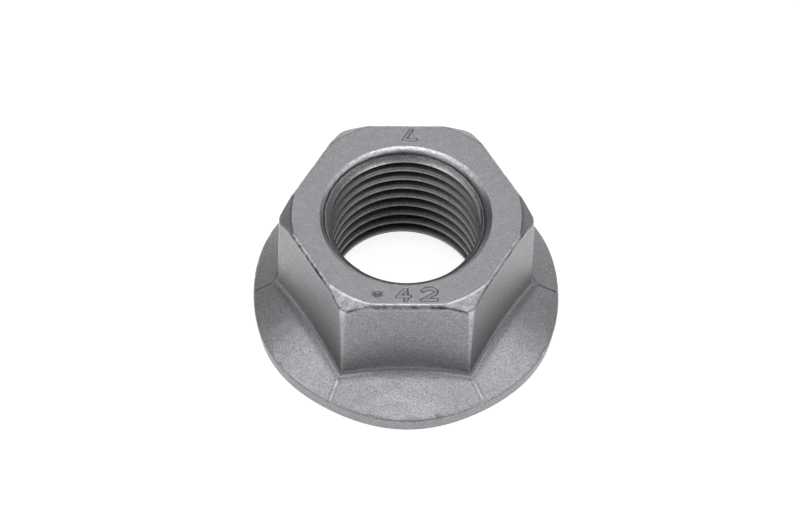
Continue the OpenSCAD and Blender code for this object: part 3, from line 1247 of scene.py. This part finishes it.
@dataclass(frozen=True)
class ZincFlakeCoat:
    """Matte silver-grey zinc flake coating on forged steel, finely grained, with painted highlights and wear
    at its edges and painted shade in its grooves.

    Colours are linear. Pairs of numbers are spans of a noise or of a painted value, from 0 to 1, or what such
    a span becomes.
    """

    name: str = "zinc_flake_coat"
    # The coating's own two colours, the pale of painted highlights and wear, and the painted shade of grooves
    silver: tuple[float, float, float] = (0.375, 0.372, 0.390)
    dull: tuple[float, float, float] = (0.200, 0.194, 0.205)
    pale: tuple[float, float, float] = (0.66, 0.66, 0.675)
    deep: tuple[float, float, float] = (0.012, 0.012, 0.013)
    # Sizes of the grain's specks, of the flecks that break up all wear, and of dull blotches, in millimetres
    grain: float = 0.15
    fleck: float = 0.24
    blotch: float = 0.9
    # The turned top face is smoother: between these heights the grain fades to this share
    calm_span: Span = (14.9, 15.05)
    calm: float = 0.55
    # Spans of specks and blotches over which the colour changes, and how far a blotch dulls it
    speck_span: Span = (0.34, 0.66)
    blotch_span: Span = (0.35, 0.75)
    blotch_most: float = 0.28
    # Painted highlights and wear: what flecks leave of weak ones, and where they are strong enough to pass
    # over them
    light_span: Span = (0.38, 0.60)
    light_least: float = 0.15
    heavy_span: Span = (0.45, 1.0)
    heavy_most: float = 0.95
    # Painted shade in grooves: what flecks leave of it
    dark_span: Span = (0.30, 0.62)
    dark_least: float = 0.94
    # Roughness: its middle, its span over the specks, more of it in grooves, less of it under painted
    # highlights and wear
    roughness: float = 0.40
    rough_span: Span = (0.3, 0.7)
    rougher: float = 0.05
    smoother: float = 0.04
    hollow_rough: float = 0.2
    burnish: float = 0.08
    # Relief of specks and flecks: their heights, its strength and its depth in millimetres
    speck_high: float = 0.6
    fleck_high: float = 0.9
    relief: float = 0.30
    relief_depth: float = 0.012

    def make(self) -> bpy.types.Material:
        """Builds the material from Object coordinates and the painted highlights, wear and shade.

        Returns:
            The material.
        """
        material = bpy.data.materials.new(self.name)
        material.use_nodes = True
        s = Shader(material.node_tree)
        silver, dull, pale, deep = ((*colour, 1) for colour in (self.silver, self.dull, self.pale, self.deep))
        place = s.node("ShaderNodeTexCoord").outputs["Object"]
        edge, hollow = (s.node("ShaderNodeAttribute", {"attribute_name": name}).outputs["Fac"]
                        for name in ("edge", "hollow"))
        high = s.node("ShaderNodeSeparateXYZ", None, Vector=place).outputs[2]
        calm = s.ramp(high, tuple(z * MM for z in self.calm_span), (1.0, self.calm))
        speck = s.noise(place, self.grain, 3.0, 0.6)
        speck = s.maths("ADD", s.maths("MULTIPLY", s.maths("SUBTRACT", speck, 0.5), calm), 0.5)
        blotch = s.noise(place, self.blotch, 3.0, 0.55)
        fleck = s.noise(place, self.fleck, 2.0, 0.5)
        coat = s.blend(s.ramp(speck, self.speck_span, (0.0, 1.0)), dull, silver)
        coat = s.blend(s.ramp(blotch, self.blotch_span, (0.0, self.blotch_most)), coat, dull)
        # Painted highlights and wear lighten the coat towards the pale colour
        light = s.maths("MULTIPLY", edge, s.ramp(fleck, self.light_span, (self.light_least, 1.0)))
        heavy = s.ramp(edge, self.heavy_span, (0.0, self.heavy_most))
        sheen_and_wear = s.maths("MAXIMUM", light, heavy, clamp=True)
        coat = s.blend(sheen_and_wear, coat, pale)
        # Painted shade darkens it towards the deep colour
        dark = s.ramp(fleck, self.dark_span, (1.0, self.dark_least))
        coat = s.blend(s.maths("MULTIPLY", hollow, dark, clamp=True), coat, deep)
        matt = (self.roughness + self.rougher, self.roughness - self.smoother)
        rough = s.ramp(speck, self.rough_span, matt)
        rough = s.maths("ADD", rough, s.maths("MULTIPLY", hollow, self.hollow_rough), clamp=True)
        rough = s.maths("SUBTRACT", rough, s.maths("MULTIPLY", sheen_and_wear, self.burnish))
        height = s.maths("ADD", s.maths("MULTIPLY", speck, self.speck_high),
                         s.maths("MULTIPLY", fleck, self.fleck_high))
        bump = s.node("ShaderNodeBump", None, Height=height, Strength=self.relief,
                      Distance=self.relief_depth * MM)
        shader = s.node("ShaderNodeBsdfPrincipled", None, Base_Color=coat, Metallic=1.0, Roughness=rough,
                        Normal=bump.outputs[0])
        s.node("ShaderNodeOutputMaterial", None, Surface=shader.outputs[0])
        return material


@dataclass
class NutBody:
    """The whole nut as one closed surface, from its bore over hexagon and flange to the bearing face."""

    name: str = "nut_body"
    node: str = "flange_nut"
    slot: str = "zinc_flake_steel"
    # Angle between faces, in degrees, above which an edge is shaded as sharp
    sharp: float = 34.0
    # How far outside the mouth the top face's own grid begins
    border: float = 0.06

    def __post_init__(self) -> None:
        """Takes the height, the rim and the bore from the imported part."""
        low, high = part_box(self.node)
        height = (high.z - low.z) / MM
        rim = (high.x - low.x) / 2 / MM
        thread = next(m for m in frame["record"]["mounts"] if m["name"] == "thread")
        self.bore = Bore(thread["dims"]["r_mm"], height)
        self.hexagon = Hexagon(height)
        self.flange = Flange(rim)
        self.top = TopFace(height, self.bore.mouth_r + self.border, self.bore.lean)
        self.bearing = BearingFace(self.flange, self.bore.lead_r)

    def build(self) -> bpy.types.Object:
        """Lays the strips in their order round the section and joins their ends.

        Returns:
            The finished piece.
        """
        skin = Skin()
        wall = self.hexagon.wall(self.flange.foot_top(self.hexagon))
        outside = wall.then(self.flange.upper(self.hexagon, wall))
        top = self.top.strip(self.hexagon.edge_radius)
        ends: list[tuple[np.ndarray, np.ndarray]] = []
        for strip in (self.bore.lip(), top, outside, self.bearing.strip()):
            numbers = skin.ring_strip(strip)
            if ends:
                skin.zip_up(*ends[-1], numbers[0], strip.angle[0])
            ends += [(numbers[0], strip.angle[0]), (numbers[-1], strip.angle[-1])]
        low_ring, high_ring, angle = self.bore.grid(skin)
        skin.zip_up(*ends[-1], low_ring, angle)
        skin.zip_up(high_ring, angle, *ends[0])
        return skin.mesh(self.name, self.sharp)

    def dress(self, coat: ZincFlakeCoat) -> bpy.types.Object:
        """Builds the piece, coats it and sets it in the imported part's place.

        Args:
            coat: The finish.

        Returns:
            The finished piece.
        """
        piece = self.build()
        piece.data.materials.append(coat.make())
        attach(piece, "root")
        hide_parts(self.node)
        log.info("%s: %d faces", piece.name, len(piece.data.polygons))
        return piece


@dataclass(frozen=True)
class Softbox:
    """One studio lamp: a square of light that faces the nut.

    Its bearing is in degrees from the front, its tilt in degrees from straight above, its distance and size
    in metres, and its radiance in watts per square metre and steradian.
    """

    name: str
    azimuth: float
    tilt: float
    distance: float
    size: float
    radiance: float

    def light(self) -> None:
        """Adds the lamp. Its power is its radiance times pi times its area."""
        data = bpy.data.lights.new(self.name, "AREA")
        data.shape = "SQUARE"
        data.size = self.size
        data.energy = self.radiance * math.pi * self.size ** 2
        lamp = bpy.data.objects.new(self.name, data)
        a, t = math.radians(self.azimuth), math.radians(self.tilt)
        out = Vector((math.sin(a) * math.sin(t), -math.cos(a) * math.sin(t), math.cos(t)))
        lamp.location = out * self.distance
        lamp.rotation_euler = out.to_track_quat("Z", "Y").to_euler()
        bpy.context.scene.collection.objects.link(lamp)


@dataclass
class Studio:
    """Pale floor and backdrop, and soft light from above and all round. Lengths are in metres."""

    softboxes: tuple[Softbox, ...] = (
        Softbox("overhead_softbox", 0, 7, 0.50, 0.34, 3.2),
        Softbox("high_back_softbox", 180, 36, 0.55, 0.24, 1.34),
        Softbox("low_back_softbox", 180, 66, 0.60, 0.30, 1.1),
        Softbox("left_softbox", -84, 42, 0.55, 0.29, 2.05),
        Softbox("right_softbox", 86, 42, 0.55, 0.29, 2.05),
        Softbox("front_left_softbox", -45, 52, 0.60, 0.24, 1.85),
        Softbox("front_right_softbox", 45, 52, 0.60, 0.24, 1.9),
        Softbox("back_left_softbox", -135, 60, 0.60, 0.26, 0.4),
        Softbox("back_right_softbox", 135, 60, 0.60, 0.26, 0.95),
    )
    floor_size: float = 2.4
    # White backdrop behind the nut: half its width, where it stands and how high it is
    backdrop_half: float = 0.85
    backdrop_y: float = 1.0
    backdrop_high: float = 0.40
    # How much light the floor gives back, how much is added to it, and the sky's strength
    floor_albedo: float = 0.32
    floor_glow: float = 0.86
    sky: float = 0.27

    def build(self) -> None:
        """Makes the floor, the lamps and the sky."""
        for softbox in self.softboxes:
            softbox.light()
        white = self.floor_material()
        half = self.floor_size / 2
        self.sheet("floor", [(-half, -half, 0), (half, -half, 0), (half, half, 0), (-half, half, 0)], white)
        wide, back, high = self.backdrop_half, self.backdrop_y, self.backdrop_high
        wall = [(-wide, back, 0), (wide, back, 0), (wide, back, high), (-wide, back, high)]
        self.sheet("backdrop", wall, white)
        world = bpy.data.worlds.new("studio")
        bpy.context.scene.world = world
        world.use_nodes = True
        s = Shader(world.node_tree)
        glow = s.node("ShaderNodeBackground", None, Color=(1, 1, 1, 1), Strength=self.sky)
        s.node("ShaderNodeOutputWorld", None, Surface=glow.outputs[0])
        log.info("studio: %d softboxes", len(self.softboxes))

    def sheet(self, name: str, corners: list[tuple[float, float, float]],
              material: bpy.types.Material) -> None:
        """Adds one flat sheet of the studio, from its four corners in metres."""
        mesh = bpy.data.meshes.new(name)
        mesh.from_pydata(corners, [], [(0, 1, 2, 3)])
        mesh.materials.append(material)
        piece = bpy.data.objects.new(name, mesh)
        bpy.context.scene.collection.objects.link(piece)

    def floor_material(self) -> bpy.types.Material:
        """White floor: plain diffuse, with some light added for camera, glossy and transmission rays."""
        material = bpy.data.materials.new("floor_white")
        material.use_nodes = True
        s = Shader(material.node_tree)
        paths = s.node("ShaderNodeLightPath").outputs
        seen = s.maths("ADD", paths["Is Camera Ray"], paths["Is Glossy Ray"])
        seen = s.maths("ADD", seen, paths["Is Transmission Ray"], clamp=True)
        white = s.node("ShaderNodeBsdfDiffuse", None, Color=(self.floor_albedo,) * 3 + (1,))
        glow = s.node("ShaderNodeEmission", None, Strength=s.maths("MULTIPLY", seen, self.floor_glow))
        both = s.node("ShaderNodeAddShader")
        s.put(both.inputs[0], white.outputs[0])
        s.put(both.inputs[1], glow.outputs[0])
        s.node("ShaderNodeOutputMaterial", None, Surface=both.outputs[0])
        return material


@dataclass
class View:
    """Camera at the photograph's angle: a long lens that looks down at the nut from the front.

    Angles are in degrees and lengths in millimetres. The aim is the point in the picture's middle: a height
    on the axis, and from there to the right and up in the picture.
    """

    elevation: float = 54.891
    azimuth: float = -1.400
    roll: float = 1.433
    distance: float = 445.5
    aim_z: float = 8.114
    aim_right: float = -0.558
    aim_up: float = -1.083
    # Focal length and picture width in pixels, and the sensor's width
    focal_pixels: float = 4484.8
    frame_width: float = 800.0
    sensor: float = 36.0
    # Nearest distance seen
    nearest: float = 10.0

    def build(self) -> None:
        """Adds the camera and makes it the scene's."""
        el, az, roll = (math.radians(a) for a in (self.elevation, self.azimuth, self.roll))
        back = Vector((math.sin(az) * math.cos(el), -math.cos(az) * math.cos(el), math.sin(el)))
        right = Vector((math.cos(az), math.sin(az), 0))
        up = back.cross(right)
        turned_right = right * math.cos(roll) + up * math.sin(roll)
        turned_up = up * math.cos(roll) - right * math.sin(roll)
        aim = Vector((0, 0, self.aim_z)) + turned_right * self.aim_right + turned_up * self.aim_up
        data = bpy.data.cameras.new("camera")
        data.sensor_width = self.sensor
        data.lens = self.focal_pixels * self.sensor / self.frame_width
        data.clip_start = self.nearest * MM
        camera = bpy.data.objects.new("camera", data)
        turn = Matrix((turned_right, turned_up, back)).transposed().to_4x4()
        camera.matrix_world = Matrix.Translation((aim + back * self.distance) * MM) @ turn
        bpy.context.scene.collection.objects.link(camera)
        bpy.context.scene.camera = camera
        log.info("camera: lens %.1f mm", data.lens)


def main() -> None:
    """Builds the camera, the studio and the nut."""
    logging.basicConfig(level=logging.INFO, format="%(name)s %(message)s")
    bpy.context.scene.view_settings.view_transform = "Standard"
    View().build()
    Studio().build()
    NutBody().dress(ZincFlakeCoat())


if __name__ == "__main__":
    main()
